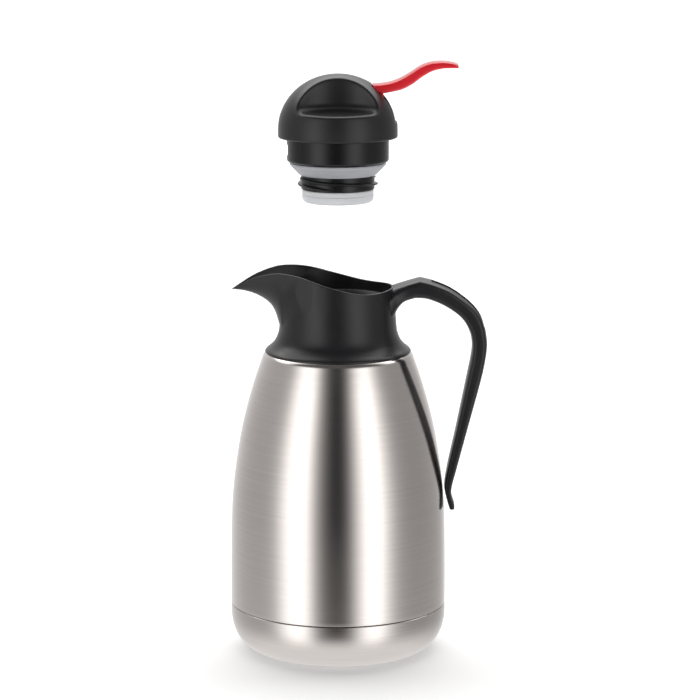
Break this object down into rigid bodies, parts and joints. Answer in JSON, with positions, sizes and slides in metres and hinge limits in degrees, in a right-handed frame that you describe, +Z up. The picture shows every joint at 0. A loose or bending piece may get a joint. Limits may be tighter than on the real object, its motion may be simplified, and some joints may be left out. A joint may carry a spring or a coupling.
{
  "type": "vacuum jug",
  "caption": "Double-wall steel vacuum jug with a pouring spout, a handle and a screw-in stopper whose thumb lever opens a pouring valve.",
  "frame": {"origin": "on the jug's axis, in the plane that it stands on", "axes": "+Z up the jug's axis, -X towards the pouring spout, +X towards the handle, Y across"},
  "size_m": [0.1659, 0.1396, 0.3826],
  "materials": {
    "shell_steel": "fine circumferential brushing",
    "liner_steel": "smooth bright drawn steel",
    "getter_alloy": "sintered alloy",
    "satin_black": "satin moulded",
    "dark_strip": "matt soft-touch",
    "dome_black": "fine spark-eroded texture",
    "gloss_black": "polished",
    "lever_red": "glossy",
    "grey_silicone": "matt silicone",
    "white_silicone": "translucent silicone",
    "pin_steel": "drawn wire and turned steel"
  },
  "bodies": {
    "jug": {"outer_shell": "shell_steel", "inner_liner": "liner_steel", "base_cup": "shell_steel", "port_cover": "satin_black", "getter": "getter_alloy", "collar": "satin_black", "neck_ring": "satin_black", "collar_gasket": "grey_silicone", "handle": "satin_black", "handle_cover": "dark_strip"},
    "gasket": {"cone_gasket": "grey_silicone"},
    "stopper": {"dome_cap": "dome_black", "lever_pin": "pin_steel", "stopper_body": "gloss_black", "inner_deck": "satin_black", "stem_gasket": "grey_silicone", "deck_screw_1": "pin_steel", "deck_screw_2": "pin_steel", "deck_screw_3": "pin_steel", "deck_screw_4": "pin_steel", "threaded_plug": "gloss_black", "bottom_seal": "white_silicone", "spring_seat": "gloss_black", "valve_spring": "pin_steel"},
    "lever": {"lever": "lever_red"},
    "valve": {"valve_stem": "pin_steel", "valve_disc": "grey_silicone", "stem_head": "gloss_black"}
  },
  "joints": [
    {"name": "stopper_lift", "type": "slide", "parent": "jug", "child": "gasket", "axis": [0, 0, 1], "range_m": [-0.084, 0]},
    {"name": "stopper_turn", "type": "hinge", "parent": "gasket", "child": "stopper", "pos_m": [0, 0, 0.334], "axis": [0, 0, 1], "range_deg": [0, 270]},
    {"name": "lever_press", "type": "hinge", "parent": "stopper", "child": "lever", "pos_m": [0.0255, 0, 0.3595], "axis": [0, 1, 0], "range_deg": [0, 12], "stiffness_Nm_per_rad": 1.2, "springref_deg": -6.88},
    {"name": "valve_lift", "type": "slide", "parent": "stopper", "child": "valve", "axis": [0, 0, 1], "range_m": [0, 0.0056], "deforming": ["valve_spring"]}
  ],
  "couplings": [
    {"joint": "valve_lift", "follows": "lever_press", "m_per_rad": 0.0262}
  ]
}
